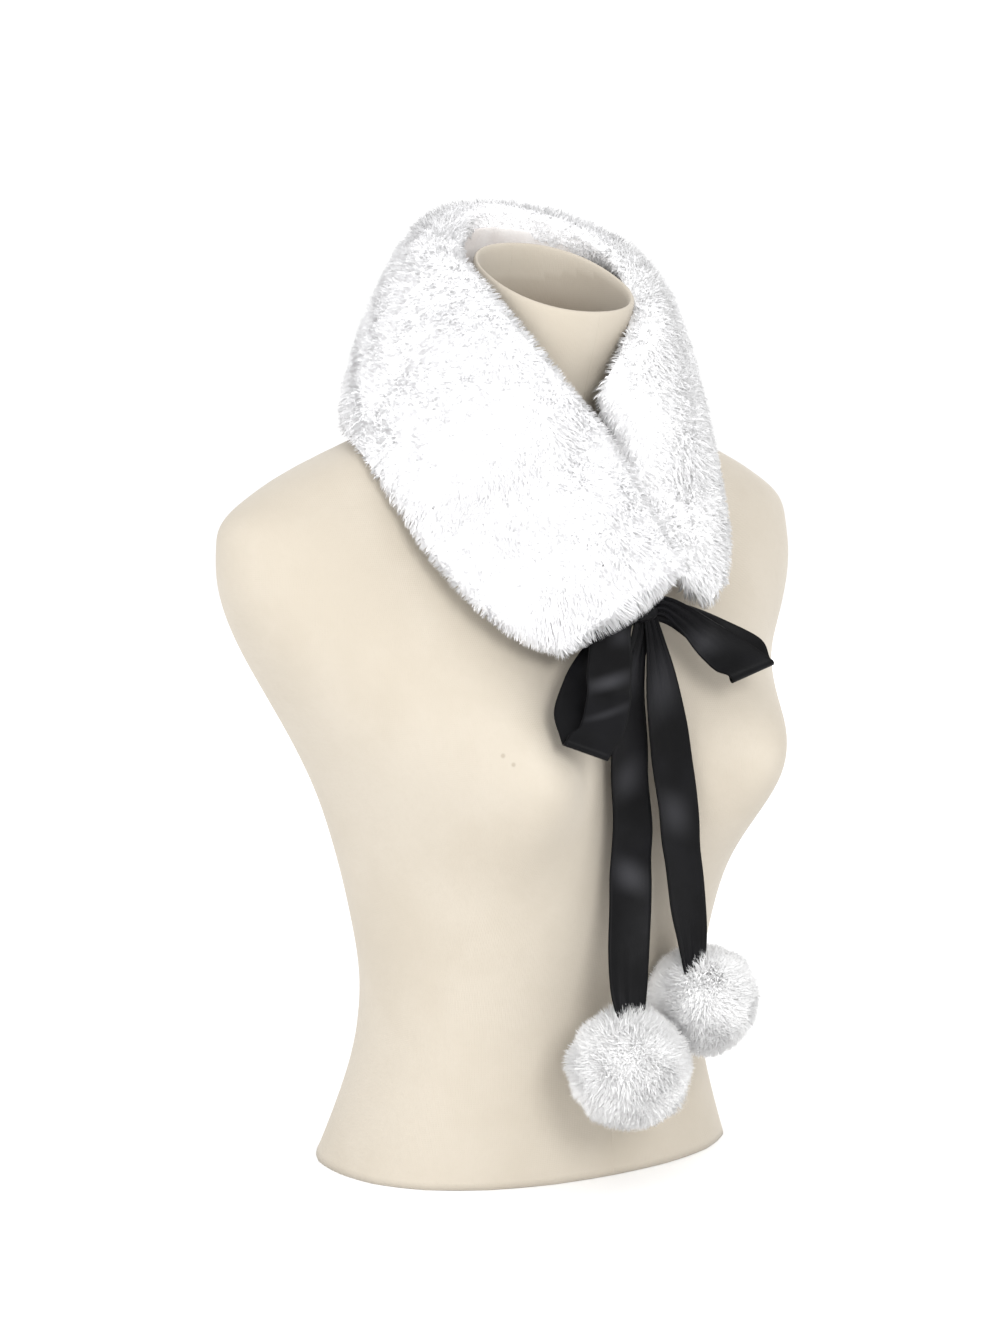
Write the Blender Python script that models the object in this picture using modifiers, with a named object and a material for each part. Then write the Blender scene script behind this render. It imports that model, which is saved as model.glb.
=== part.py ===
"""A faux fur scarf with satin ribbon ties and fur pompoms, worn by a limbless dress form.

Metres, +Z up. The form looks along -Y, its right side is at -X, and the origin is the centre of its base.
The scarf is one wide fur band round the neck. Its right end crosses over its left end on the chest, and the
two ribbons sewn to the ends are tied in a bow below them, with a pompom on each tail.
"""

import math
from collections import namedtuple

import bmesh
import bpy
from mathutils import Vector

# Driving sizes
SEAM_GAP = 0.0003
LINING_GAP = 0.0005
FORM_WALL = 0.004
NECK_TILT_DEG = 23.0
LINING_THICKNESS = 0.0012
SHOULDER_CLEARANCE = 0.0032
SHOULDER_FROM_ROW = 9
RIBBON_WIDTH = 0.028
RIBBON_THICKNESS = 0.0011
TAIL_CUP = 0.0012
KNOT_CENTRE = (0.004, -0.113, 0.332)
KNOT_RADII = (0.0112, 0.0080, 0.0092)
LOCK_LENGTH = 0.0078
LOCK_INSET = 0.0012
LOCK_TIP_SHARE = 0.35
TIE_ANGLE_DEG = 46.0

# Finishes
Finish = namedtuple("Finish", "colour roughness")
LINEN = Finish((0.84, 0.79, 0.70), 0.85)
FUR = Finish((0.95, 0.95, 0.96), 0.90)
WHITE_SATIN = Finish((0.93, 0.91, 0.90), 0.40)
BLACK_SATIN = Finish((0.03, 0.03, 0.035), 0.35)

# Mesh densities
FORM_SIDES = 40
FORM_RINGS_PER_ROW = 2
FUR_SECTION_SIDES = 28
FUR_STATIONS_PER_ROW = 3
RIBBON_STEPS_PER_ROW = 3
RIBBON_STRIPS = 3
LINING_STRIPS = 8
POMPOM_CUTS = 3

# The dress form, one row for each level from the base to the neck's rim. A section is as wide as half_width to
# each side of the line y = middle, and reaches front and back from that line.
FormRow = namedtuple("FormRow", "height half_width middle front back")
FORM_ROWS = [
    FormRow(0.000, 0.132, 0.000, 0.094, 0.097),
    FormRow(0.037, 0.119, -0.004, 0.086, 0.089),
    FormRow(0.073, 0.110, -0.006, 0.084, 0.081),
    FormRow(0.108, 0.109, -0.007, 0.087, 0.075),
    FormRow(0.149, 0.115, -0.005, 0.096, 0.076),
    FormRow(0.185, 0.122, -0.002, 0.100, 0.081),
    FormRow(0.222, 0.132, 0.002, 0.103, 0.087),
    FormRow(0.258, 0.149, 0.006, 0.104, 0.092),
    FormRow(0.295, 0.172, 0.009, 0.102, 0.091),
    FormRow(0.330, 0.192, 0.010, 0.093, 0.085),
    FormRow(0.358, 0.200, 0.011, 0.081, 0.076),
    FormRow(0.382, 0.200, 0.012, 0.069, 0.066),
    FormRow(0.400, 0.180, 0.012, 0.060, 0.059),
    FormRow(0.415, 0.152, 0.011, 0.055, 0.055),
    FormRow(0.429, 0.118, 0.007, 0.053, 0.052),
    FormRow(0.442, 0.087, 0.000, 0.052, 0.050),
    FormRow(0.458, 0.063, -0.009, 0.051, 0.048),
    FormRow(0.478, 0.052, -0.017, 0.048, 0.046),
    FormRow(0.502, 0.047, -0.025, 0.047, 0.045),
    FormRow(0.526, 0.046, -0.031, 0.047, 0.046),
]
FORM_ROUNDNESS = 2.25
NECK_TILT_FROM = 0.430
BUST_SIDE = 0.090
BUST_HEIGHT = 0.247
BUST_DEPTH = 0.078
BUST_SPREAD_X = 0.046
BUST_SPREAD_UP = 0.050
BUST_SPREAD_DOWN = 0.057

# The fur band, one row for each section from its right end round the back of the neck to its left end. A section
# runs from its top edge, by the neck, to its bottom edge, on the shoulders and chest.
FurRow = namedtuple("FurRow", "top_x top_y top_z bottom_x bottom_y bottom_z thickness bulge")
FUR_ROWS = [
    FurRow(0.027, -0.127, 0.360, -0.056, -0.118, 0.312, 0.024, 0.004),
    FurRow(0.013, -0.108, 0.398, -0.079, -0.109, 0.322, 0.028, 0.007),
    FurRow(-0.002, -0.090, 0.437, -0.101, -0.090, 0.344, 0.030, 0.008),
    FurRow(-0.022, -0.083, 0.463, -0.115, -0.068, 0.369, 0.030, 0.007),
    FurRow(-0.042, -0.067, 0.495, -0.122, -0.042, 0.398, 0.030, 0.006),
    FurRow(-0.053, -0.041, 0.524, -0.122, -0.009, 0.417, 0.030, 0.007),
    FurRow(-0.056, -0.006, 0.547, -0.104, 0.028, 0.428, 0.031, 0.008),
    FurRow(-0.044, 0.024, 0.560, -0.071, 0.058, 0.433, 0.031, 0.008),
    FurRow(-0.018, 0.040, 0.569, -0.028, 0.080, 0.437, 0.031, 0.008),
    FurRow(0.020, 0.040, 0.570, 0.026, 0.080, 0.435, 0.031, 0.008),
    FurRow(0.048, 0.022, 0.562, 0.070, 0.056, 0.428, 0.031, 0.006),
    FurRow(0.061, -0.010, 0.548, 0.098, 0.020, 0.421, 0.030, 0.004),
    FurRow(0.056, -0.045, 0.528, 0.105, -0.023, 0.410, 0.029, 0.003),
    FurRow(0.035, -0.076, 0.505, 0.099, -0.056, 0.379, 0.027, 0.003),
    FurRow(0.009, -0.088, 0.480, 0.090, -0.080, 0.361, 0.025, 0.004),
    FurRow(0.001, -0.083, 0.449, 0.081, -0.094, 0.350, 0.022, 0.004),
    FurRow(0.009, -0.083, 0.410, 0.072, -0.103, 0.342, 0.018, 0.003),
    FurRow(0.016, -0.092, 0.378, 0.064, -0.107, 0.337, 0.017, 0.001),
]
FUR_EDGE_ROUNDNESS = 3.2
SEAM_RIGHT = 5.0
SEAM_LEFT = 11.0

# The lining shows inside the back of the collar, between these positions and shares of the band's width.
LINING_FIRST = 5.3
LINING_LAST = 10.7
LINING_TOP_SHARE = 0.10
LINING_BOTTOM_SHARE = 0.60

# Ribbons, one row for each bend: the middle of the ribbon, the direction across it and its share of the width.
RibbonRow = namedtuple("RibbonRow", "x y z across_x across_y across_z width")
LOOP_RIGHT_ROWS = [
    RibbonRow(-0.0058, -0.1160, 0.3280, 0.30, -0.20, -0.93, 0.36),
    RibbonRow(-0.0155, -0.1190, 0.3215, 0.50, -0.20, -0.80, 0.54),
    RibbonRow(-0.0270, -0.1250, 0.3120, 0.74, -0.25, -0.60, 0.84),
    RibbonRow(-0.0400, -0.1355, 0.2990, 0.84, -0.28, -0.42, 1.00),
    RibbonRow(-0.0521, -0.1460, 0.2843, 0.88, -0.28, -0.36, 1.00),
    RibbonRow(-0.0625, -0.1535, 0.2720, 0.89, -0.28, -0.36, 1.00),
    RibbonRow(-0.0660, -0.1560, 0.2679, 0.89, -0.28, -0.36, 1.00),
    RibbonRow(-0.0670, -0.1550, 0.2655, 0.89, -0.28, -0.36, 1.00),
    RibbonRow(-0.0660, -0.1524, 0.2655, 0.89, -0.28, -0.36, 1.00),
    RibbonRow(-0.0656, -0.1497, 0.2691, 0.89, -0.28, -0.36, 1.00),
    RibbonRow(-0.0640, -0.1400, 0.2815, 0.88, -0.28, -0.38, 1.00),
    RibbonRow(-0.0470, -0.1260, 0.2970, 0.82, -0.28, -0.46, 1.00),
    RibbonRow(-0.0290, -0.1150, 0.3100, 0.70, -0.25, -0.62, 0.82),
    RibbonRow(-0.0175, -0.1100, 0.3220, 0.50, -0.20, -0.80, 0.50),
    RibbonRow(-0.0058, -0.1095, 0.3290, 0.30, -0.20, -0.93, 0.36),
]
LOOP_LEFT_ROWS = [
    RibbonRow(0.0153, -0.1155, 0.3322, 0.10, 0.10, 0.98, 0.44),
    RibbonRow(0.0240, -0.1190, 0.3305, 0.40, 0.10, 0.85, 0.62),
    RibbonRow(0.0362, -0.1250, 0.3245, 0.75, 0.00, 0.60, 0.84),
    RibbonRow(0.0460, -0.1360, 0.3135, 0.88, -0.12, 0.40, 1.00),
    RibbonRow(0.0520, -0.1440, 0.3062, 0.92, -0.19, 0.33, 1.00),
    RibbonRow(0.0548, -0.1466, 0.3038, 0.92, -0.19, 0.33, 1.00),
    RibbonRow(0.0558, -0.1459, 0.3015, 0.92, -0.19, 0.33, 1.00),
    RibbonRow(0.0562, -0.1433, 0.3017, 0.92, -0.19, 0.33, 1.00),
    RibbonRow(0.0567, -0.1406, 0.3055, 0.92, -0.19, 0.33, 1.00),
    RibbonRow(0.0580, -0.1340, 0.3150, 0.88, -0.12, 0.40, 1.00),
    RibbonRow(0.0470, -0.1200, 0.3260, 0.75, 0.00, 0.60, 0.84),
    RibbonRow(0.0285, -0.1125, 0.3320, 0.40, 0.10, 0.85, 0.60),
    RibbonRow(0.0153, -0.1102, 0.3322, 0.10, 0.10, 0.98, 0.44),
]
TAIL_RIGHT_ROWS = [
    RibbonRow(-0.0036, -0.1143, 0.3226, 1.0, 0.00, 0.0, 0.40),
    RibbonRow(-0.0062, -0.1138, 0.3080, 1.0, 0.10, 0.0, 0.62),
    RibbonRow(-0.0082, -0.1160, 0.2856, 1.0, 0.15, 0.0, 0.92),
    RibbonRow(-0.0085, -0.1190, 0.2513, 1.0, 0.10, 0.0, 1.00),
    RibbonRow(-0.0089, -0.1210, 0.1993, 1.0, -0.05, 0.0, 1.00),
    RibbonRow(-0.0115, -0.1235, 0.1705, 1.0, -0.10, 0.0, 1.00),
    RibbonRow(-0.0175, -0.1300, 0.1430, 1.0, -0.10, 0.0, 0.98),
    RibbonRow(-0.0235, -0.1382, 0.1210, 1.0, -0.10, 0.0, 0.86),
    RibbonRow(-0.0272, -0.1438, 0.1064, 1.0, -0.10, 0.0, 0.42),
]
TAIL_LEFT_ROWS = [
    RibbonRow(0.0105, -0.1136, 0.3224, 1.0, 0.00, 0.0, 0.40),
    RibbonRow(0.0118, -0.1180, 0.3080, 1.0, -0.05, 0.0, 0.58),
    RibbonRow(0.0125, -0.1215, 0.2885, 1.0, -0.10, 0.0, 0.80),
    RibbonRow(0.0175, -0.1235, 0.2564, 1.0, -0.10, 0.0, 0.95),
    RibbonRow(0.0221, -0.1260, 0.2148, 1.0, 0.00, 0.0, 1.00),
    RibbonRow(0.0246, -0.1305, 0.1675, 1.0, 0.10, 0.0, 1.00),
    RibbonRow(0.0252, -0.1340, 0.1465, 1.0, 0.10, 0.0, 0.84),
    RibbonRow(0.0252, -0.1362, 0.1279, 1.0, 0.10, 0.0, 0.38),
]

# Pompoms, each with its core's size and the direction its ribbon comes in from.
Pompom = namedtuple("Pompom", "name centre core_radius tie")
POMPOMS = [
    Pompom("pompom_right", (-0.0239, -0.1390, 0.0773), 0.0285, (-0.115, -0.160, 0.980)),
    Pompom("pompom_left", (0.0405, -0.1250, 0.1060), 0.0255, (-0.561, -0.365, 0.750)),
]


def smooth_value(rows, column, position):
    """Reads a column between rows, on a cubic that doesn't overshoot."""
    values = [getattr(row, column) for row in rows]
    last = len(values) - 1
    index = min(int(position), last - 1)
    part = position - index

    def slope(i):
        if i in (0, last):
            near = 1 if i == 0 else last
            return values[near] - values[near - 1]
        before = values[i] - values[i - 1]
        after = values[i + 1] - values[i]
        if before * after <= 0:
            return 0.0
        return 2 * before * after / (before + after)

    a, b = values[index], values[index + 1]
    rise = b - a
    lean_a, lean_b = slope(index), slope(index + 1)
    return (
        a
        + part * lean_a
        + part**2 * (3 * rise - 2 * lean_a - lean_b)
        + part**3 * (lean_a + lean_b - 2 * rise)
    )


def round_value(rows, column, position):
    """Reads a column between rows, on a Catmull-Rom curve, for paths through space."""
    values = [getattr(row, column) for row in rows]
    last = len(values) - 1
    index = min(int(position), last - 1)
    part = position - index
    a, b = values[index], values[index + 1]
    before = values[index - 1] if index > 0 else 2 * a - b
    after = values[index + 2] if index + 2 <= last else 2 * b - a
    return 0.5 * (
        2 * a
        + (b - before) * part
        + (2 * before - 5 * a + 4 * b - after) * part**2
        + (3 * a - before - 3 * b + after) * part**3
    )


def clear_scene():
    for thing in list(bpy.data.objects):
        bpy.data.objects.remove(thing, do_unlink=True)


def material(name, finish):
    """A material of the object's own, in one of the finishes above."""
    made = bpy.data.materials.new(name)
    made.use_nodes = True
    shader = made.node_tree.nodes["Principled BSDF"]
    shader.inputs["Base Color"].default_value = (*finish.colour, 1.0)
    shader.inputs["Roughness"].default_value = finish.roughness
    shader.inputs["Metallic"].default_value = 0.0
    return made


def object_from(bm, name, collection, finish):
    """Makes a named object from a bmesh and gives it its material."""
    mesh = bpy.data.meshes.new(name)
    bm.to_mesh(mesh)
    bm.free()
    mesh.materials.append(material(name, finish))
    mesh.shade_smooth()
    made = bpy.data.objects.new(name, mesh)
    collection.objects.link(made)
    return made


def loft(rings, closed_rings, cap_first=False, laddered_caps=False):
    """Joins rings of points by quads. Laddered caps join each end ring's two long sides rung by rung."""
    bm = bmesh.new()
    made = [[bm.verts.new(point) for point in ring] for ring in rings]
    count = len(rings[0])
    steps = count if closed_rings else count - 1
    for low, high in zip(made, made[1:]):
        for i in range(steps):
            j = (i + 1) % count
            bm.faces.new((low[i], low[j], high[j], high[i]))
    if cap_first:
        bm.faces.new(list(reversed(made[0])))
    if laddered_caps:
        for ring in (made[0], made[-1]):
            for i in range(count // 2):
                corners = (ring[i], ring[i + 1], ring[-i - 1], ring[-i])
                bm.faces.new(list(dict.fromkeys(corners)))
    bmesh.ops.recalc_face_normals(bm, faces=bm.faces)
    return bm


def face_outwards(bm, inside_point):
    """Turns an open surface so that its faces look away from a point inside it."""
    bm.normal_update()
    facing = sum(
        face.normal.dot(face.calc_center_median() - inside_point) * face.calc_area()
        for face in bm.faces
    )
    if facing < 0:
        bmesh.ops.reverse_faces(bm, faces=bm.faces)


def add_wall(made, thickness, offset):
    """Gives an open surface its thickness: offset -1 is inwards, 0 is to both sides."""
    wall = made.modifiers.new("wall", "SOLIDIFY")
    wall.thickness = thickness
    wall.offset = offset
    wall.use_even_offset = True


def bust(x, height):
    """How far the bust stands out in front of the chest."""
    spread = BUST_SPREAD_UP if height > BUST_HEIGHT else BUST_SPREAD_DOWN
    rise = math.exp(-(((height - BUST_HEIGHT) / spread) ** 2))
    return BUST_DEPTH * rise * sum(
        math.exp(-(((x - side * BUST_SIDE) / BUST_SPREAD_X) ** 2)) for side in (-1, 1)
    )


def form_ring(position):
    """One level of the dress form, as points round it."""
    read = {key: smooth_value(FORM_ROWS, key, position) for key in FormRow._fields}
    top = FORM_ROWS[-1].height
    tilt_share = max(0.0, (read["height"] - NECK_TILT_FROM) / (top - NECK_TILT_FROM))
    tilt = math.tan(math.radians(NECK_TILT_DEG * tilt_share))
    ring = []
    for i in range(FORM_SIDES):
        angle = math.tau * i / FORM_SIDES
        side, ahead = math.cos(angle), math.sin(angle)
        reach = (abs(side) ** FORM_ROUNDNESS + abs(ahead) ** FORM_ROUNDNESS) ** (-1 / FORM_ROUNDNESS)
        x = read["half_width"] * side * reach
        depth = (read["front"] if ahead < 0 else read["back"]) * ahead * reach
        if ahead < 0:
            depth += bust(x, read["height"]) * ahead * reach
        ring.append(Vector((x, read["middle"] + depth, read["height"] + tilt * depth)))
    return ring


def make_form(collection, finish):
    """The limbless dress form: a hollow shell with a closed base and an open neck."""
    count = (len(FORM_ROWS) - 1) * FORM_RINGS_PER_ROW
    rings = [form_ring(i / FORM_RINGS_PER_ROW) for i in range(count + 1)]
    bm = loft(rings, closed_rings=True, cap_first=True)
    face_outwards(bm, Vector((0, 0, BUST_HEIGHT)))
    form = object_from(bm, "dress_form", collection, finish)
    add_wall(form, FORM_WALL, -1)
    return form


def fur_frame(position):
    """The band's section at a position: its top edge, bottom edge, outward direction and sizes."""
    read = {key: round_value(FUR_ROWS, key, position) for key in FurRow._fields}
    top = Vector((read["top_x"], read["top_y"], read["top_z"]))
    bottom = Vector((read["bottom_x"], read["bottom_y"], read["bottom_z"]))
    step = 0.05
    last = len(FUR_ROWS) - 1
    ends = []
    for at in (max(0.0, position - step), min(last, position + step)):
        ends.append(
            Vector(
                [
                    (round_value(FUR_ROWS, "top_" + axis, at) + round_value(FUR_ROWS, "bottom_" + axis, at)) / 2
                    for axis in "xyz"
                ]
            )
        )
    along = (ends[1] - ends[0]).normalized()
    down = (bottom - top).normalized()
    outward = along.cross(down).normalized()
    return top, bottom, outward, read["thickness"], read["bulge"]


def inside_form(point, position):
    """Whether a point is inside the form's section at a position, seen from above."""
    read = {key: smooth_value(FORM_ROWS, key, position) for key in FormRow._fields}
    ahead = point.y - read["middle"]
    depth = read["front"] if ahead < 0 else read["back"]
    return abs(point.x / read["half_width"]) ** FORM_ROUNDNESS + abs(ahead / depth) ** FORM_ROUNDNESS < 1


def rest_on_form(point):
    """Lifts a point that is in the form's shoulders to just above them."""
    low, high = SHOULDER_FROM_ROW, len(FORM_ROWS) - 1
    if not inside_form(point, low):
        return point
    for _ in range(24):
        middle = (low + high) / 2
        if inside_form(point, middle):
            low = middle
        else:
            high = middle
    surface = smooth_value(FORM_ROWS, "height", low) + SHOULDER_CLEARANCE
    return Vector((point.x, point.y, max(point.z, surface)))


def fur_point(frame, share, side):
    """A point of a section: share runs from the top edge to the bottom edge, side is 1 outside and -1 inside."""
    top, bottom, outward, thickness, bulge = frame
    fullness = (1 - abs(2 * share - 1) ** FUR_EDGE_ROUNDNESS) ** (1 / FUR_EDGE_ROUNDNESS)
    rise = 4 * bulge * share * (1 - share)
    point = top.lerp(bottom, share) + outward * (rise + side * fullness * thickness / 2)
    return rest_on_form(point)


def fur_ring(position):
    """A whole section of the band, round its outside and back along its inside."""
    frame = fur_frame(position)
    half = FUR_SECTION_SIDES // 2
    ring = []
    for i in range(FUR_SECTION_SIDES):
        angle = math.tau * i / FUR_SECTION_SIDES
        share = (1 - math.cos(angle)) / 2
        ring.append(fur_point(frame, share, 1 if i < half else -1))
    return ring


def make_fur(name, first, last, collection, finish):
    """One stretch of the fur band between two positions, with a seam's gap taken off each joined end."""
    steps = round((last - first) * FUR_STATIONS_PER_ROW)
    positions = [first + (last - first) * i / steps for i in range(steps + 1)]
    rings = [fur_ring(position) for position in positions]
    for end, next_to, is_seam in ((0, 1, first > 0), (-1, -2, last < len(FUR_ROWS) - 1)):
        if is_seam:
            inward = sum((b - a for a, b in zip(rings[end], rings[next_to])), Vector()).normalized()
            rings[end] = [point + inward * SEAM_GAP for point in rings[end]]
    bm = loft(rings, closed_rings=True, laddered_caps=True)
    return object_from(bm, name, collection, finish)


def ribbon_surface(rows, steps_per_row, cup):
    """The middle surface of a ribbon that follows its rows. Cup bends it across its width."""
    count = (len(rows) - 1) * steps_per_row
    rings = []
    for i in range(count + 1):
        at = i / steps_per_row
        centre = Vector([round_value(rows, axis, at) for axis in "xyz"])
        ahead = Vector([round_value(rows, axis, min(at + 0.05, len(rows) - 1)) for axis in "xyz"])
        behind = Vector([round_value(rows, axis, max(at - 0.05, 0)) for axis in "xyz"])
        along = (ahead - behind).normalized()
        across = Vector([round_value(rows, "across_" + axis, at) for axis in "xyz"]).normalized()
        normal = across.cross(along).normalized()
        width = RIBBON_WIDTH * smooth_value(rows, "width", at)
        ring = []
        for j in range(RIBBON_STRIPS + 1):
            share = 2 * j / RIBBON_STRIPS - 1
            ring.append(centre + across * (share * width / 2) + normal * (cup * (1 - share**2)))
        rings.append(ring)
    return rings


def make_ribbon(name, rows, cup, collection, finish):
    bm = loft(ribbon_surface(rows, RIBBON_STEPS_PER_ROW, cup), closed_rings=False)
    ribbon = object_from(bm, name, collection, finish)
    add_wall(ribbon, RIBBON_THICKNESS, 0)
    return ribbon


def make_lining(collection, finish):
    """The lining, from the inside face of the back of the band."""
    steps = round((LINING_LAST - LINING_FIRST) * FUR_STATIONS_PER_ROW)
    rings = []
    for i in range(steps + 1):
        frame = fur_frame(LINING_FIRST + (LINING_LAST - LINING_FIRST) * i / steps)
        inside = -frame[2] * (LINING_GAP + LINING_THICKNESS / 2)
        span = LINING_BOTTOM_SHARE - LINING_TOP_SHARE
        shares = [LINING_TOP_SHARE + span * j / LINING_STRIPS for j in range(LINING_STRIPS + 1)]
        rings.append([fur_point(frame, share, -1) + inside for share in shares])
    lining = object_from(loft(rings, closed_rings=False), "lining", collection, finish)
    add_wall(lining, LINING_THICKNESS, 0)


def make_knot(collection, finish):
    bm = bmesh.new()
    bmesh.ops.create_uvsphere(bm, u_segments=14, v_segments=8, radius=1.0)
    bmesh.ops.scale(bm, verts=bm.verts, vec=KNOT_RADII)
    bmesh.ops.translate(bm, verts=bm.verts, vec=KNOT_CENTRE)
    object_from(bm, "bow_knot", collection, finish)


def make_pompom(pompom, collection, finish):
    """A round core with a four-sided lock standing out of each of its faces, but for those by the ribbon."""
    bm = bmesh.new()
    bmesh.ops.create_cube(bm, size=2.0)
    bmesh.ops.subdivide_edges(bm, edges=bm.edges, cuts=POMPOM_CUTS, use_grid_fill=True)
    for vert in bm.verts:
        vert.co = Vector([math.tan(value * math.pi / 4) for value in vert.co]).normalized() * pompom.core_radius
    tie = Vector(pompom.tie).normalized()
    locks = []
    for face in bm.faces:
        if face.calc_center_median().normalized().angle(tie) > math.radians(TIE_ANGLE_DEG):
            locks.append(face)
    bmesh.ops.inset_individual(bm, faces=locks, thickness=LOCK_INSET)
    tips = bmesh.ops.extrude_discrete_faces(bm, faces=locks)["faces"]
    for tip in tips:
        middle = tip.calc_center_median()
        reach = middle.normalized() * LOCK_LENGTH
        for vert in tip.verts:
            vert.co = middle + (vert.co - middle) * LOCK_TIP_SHARE + reach
    bmesh.ops.translate(bm, verts=bm.verts, vec=pompom.centre)
    object_from(bm, pompom.name, collection, finish)


def main():
    clear_scene()
    scarf = bpy.data.collections.new("faux fur scarf on dress form")
    bpy.context.scene.collection.children.link(scarf)

    make_form(scarf, LINEN)
    make_fur("fur_front_right", 0.0, SEAM_RIGHT, scarf, FUR)
    make_fur("fur_back", SEAM_RIGHT, SEAM_LEFT, scarf, FUR)
    make_fur("fur_front_left", SEAM_LEFT, len(FUR_ROWS) - 1, scarf, FUR)
    make_lining(scarf, WHITE_SATIN)
    make_knot(scarf, BLACK_SATIN)
    make_ribbon("bow_loop_right", LOOP_RIGHT_ROWS, 0.0, scarf, BLACK_SATIN)
    make_ribbon("bow_loop_left", LOOP_LEFT_ROWS, 0.0, scarf, BLACK_SATIN)
    make_ribbon("bow_tail_right", TAIL_RIGHT_ROWS, TAIL_CUP, scarf, BLACK_SATIN)
    make_ribbon("bow_tail_left", TAIL_LEFT_ROWS, TAIL_CUP, scarf, BLACK_SATIN)
    for pompom in POMPOMS:
        make_pompom(pompom, scarf, FUR)


main()
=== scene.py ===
"""Looks of a white faux fur scarf with a satin ribbon bow and pompoms, worn by a cream dress form.

Metres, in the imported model's frame: +Z up, the front faces -Y, and the form's right side is at -X. Right and
left in names are the wearer's.
"""

import logging
import math
from collections.abc import Iterator, Sequence
from contextlib import contextmanager
from dataclasses import dataclass, field
from enum import Enum

import bpy
import numpy as np
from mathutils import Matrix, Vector, noise
from mathutils.bvhtree import BVHTree
from mathutils.kdtree import KDTree


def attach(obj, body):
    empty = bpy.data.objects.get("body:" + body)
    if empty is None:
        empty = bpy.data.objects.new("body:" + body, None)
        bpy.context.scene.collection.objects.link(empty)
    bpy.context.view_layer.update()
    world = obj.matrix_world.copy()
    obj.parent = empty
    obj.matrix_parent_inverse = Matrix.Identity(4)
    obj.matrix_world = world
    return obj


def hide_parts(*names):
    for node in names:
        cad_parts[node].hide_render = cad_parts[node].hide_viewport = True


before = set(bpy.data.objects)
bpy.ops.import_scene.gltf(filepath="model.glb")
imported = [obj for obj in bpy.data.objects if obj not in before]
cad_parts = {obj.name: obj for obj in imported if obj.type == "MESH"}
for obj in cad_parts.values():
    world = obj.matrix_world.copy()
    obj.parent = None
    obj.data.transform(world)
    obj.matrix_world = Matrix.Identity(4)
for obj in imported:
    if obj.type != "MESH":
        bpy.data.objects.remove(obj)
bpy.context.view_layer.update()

LOG = logging.getLogger("scarf")
BODY = "root"
MM = 0.001

Point = tuple[float, float, float]
Colour = tuple[float, float, float]
Array = np.ndarray

# A Mix node's sockets for colours: the two that go in, and the one that comes out.
COLOUR_A, COLOUR_B, COLOUR_OUT = 6, 7, 2
# How many points a curved lock and a straight hair have.
LOCK_POINTS, HAIR_POINTS = 7, 4


class Slot(Enum):
    """The record's material slots."""

    FORM = "form_cover"
    FUR = "fur"
    LINING = "lining_satin"
    RIBBON = "ribbon_satin"
    POMPOM = "pompom_fur"


class Wire:
    """One output of a shader node, which takes part in Python's arithmetic."""

    def __init__(self, graph: "Graph", socket: bpy.types.NodeSocket) -> None:
        """Keeps the socket and the graph that it belongs to."""
        self.graph = graph
        self.socket = socket

    def math(self, operation: str, *others: "Wire | float") -> "Wire":
        """Adds one Math node that starts from this value."""
        return self.graph.math(operation, self, *others)

    def __add__(self, other: "Wire | float") -> "Wire":
        """This plus other."""
        return self.math("ADD", other)

    def __radd__(self, other: float) -> "Wire":
        """Other plus this."""
        return self.math("ADD", other)

    def __sub__(self, other: "Wire | float") -> "Wire":
        """This less other."""
        return self.math("SUBTRACT", other)

    def __rsub__(self, other: float) -> "Wire":
        """Other less this."""
        return self.graph.math("SUBTRACT", other, self)

    def __mul__(self, other: "Wire | float") -> "Wire":
        """This times other."""
        return self.math("MULTIPLY", other)

    def __rmul__(self, other: float) -> "Wire":
        """Other times this."""
        return self.math("MULTIPLY", other)

    def __truediv__(self, other: "Wire | float") -> "Wire":
        """This over other."""
        return self.math("DIVIDE", other)


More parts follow.
